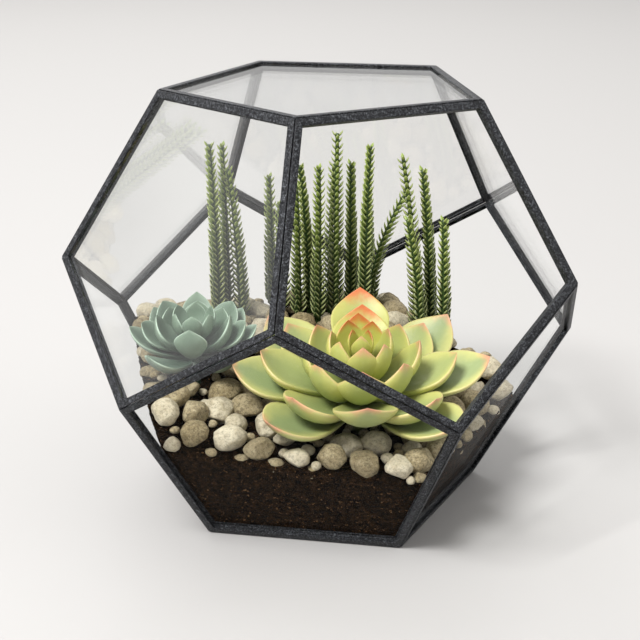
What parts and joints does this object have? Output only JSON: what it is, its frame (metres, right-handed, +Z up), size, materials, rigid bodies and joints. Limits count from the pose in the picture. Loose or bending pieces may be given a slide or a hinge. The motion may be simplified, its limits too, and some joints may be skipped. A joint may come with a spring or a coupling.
{
  "type": "florarium",
  "caption": "Dodecahedral glass florarium in dark metal strips, open on one side, planted with rosette succulents and leafy stems in soil under pebbles.",
  "frame": {"origin": "centre of the pentagon that the holder stands on, at the level of its strips' outer face", "axes": "+Z up; the open face looks towards -Y and upwards; +X to the right of a viewer who looks into it"},
  "size_m": [0.261, 0.2746, 0.2227],
  "materials": {
    "strip": "black patina over metal, lightly worn",
    "pane": "clear polished",
    "soil": "crumbly, matte",
    "gravel": "tumbled, matte",
    "rosette_large": "waxy satin",
    "rosette_small": "dusty matte",
    "stems": "waxy satin"
  },
  "bodies": {
    "root": {"frame_top": "strip", "frame_bottom": "strip", "frame_mouth": "strip", "frame_upper_1": "strip", "frame_upper_2": "strip", "frame_upper_3": "strip", "frame_upper_4": "strip", "frame_lower_1": "strip", "frame_lower_2": "strip", "frame_lower_3": "strip", "frame_lower_4": "strip", "frame_lower_5": "strip", "glass_top": "pane", "glass_bottom": "pane", "glass_upper_1": "pane", "glass_upper_2": "pane", "glass_upper_3": "pane", "glass_upper_4": "pane", "glass_lower_1": "pane", "glass_lower_2": "pane", "glass_lower_3": "pane", "glass_lower_4": "pane", "glass_lower_5": "pane", "soil": "soil", "gravel": "gravel", "rosette_large": "rosette_large", "rosette_small": "rosette_small", "stem_01": "stems", "stem_02": "stems", "stem_03": "stems", "stem_04": "stems", "stem_05": "stems", "stem_06": "stems", "stem_07": "stems", "stem_08": "stems", "stem_09": "stems", "stem_10": "stems", "stem_11": "stems", "stem_12": "stems", "stem_13": "stems", "stem_14": "stems", "stem_15": "stems", "stem_16": "stems", "stem_17": "stems", "stem_18": "stems"}
  },
  "joints": []
}
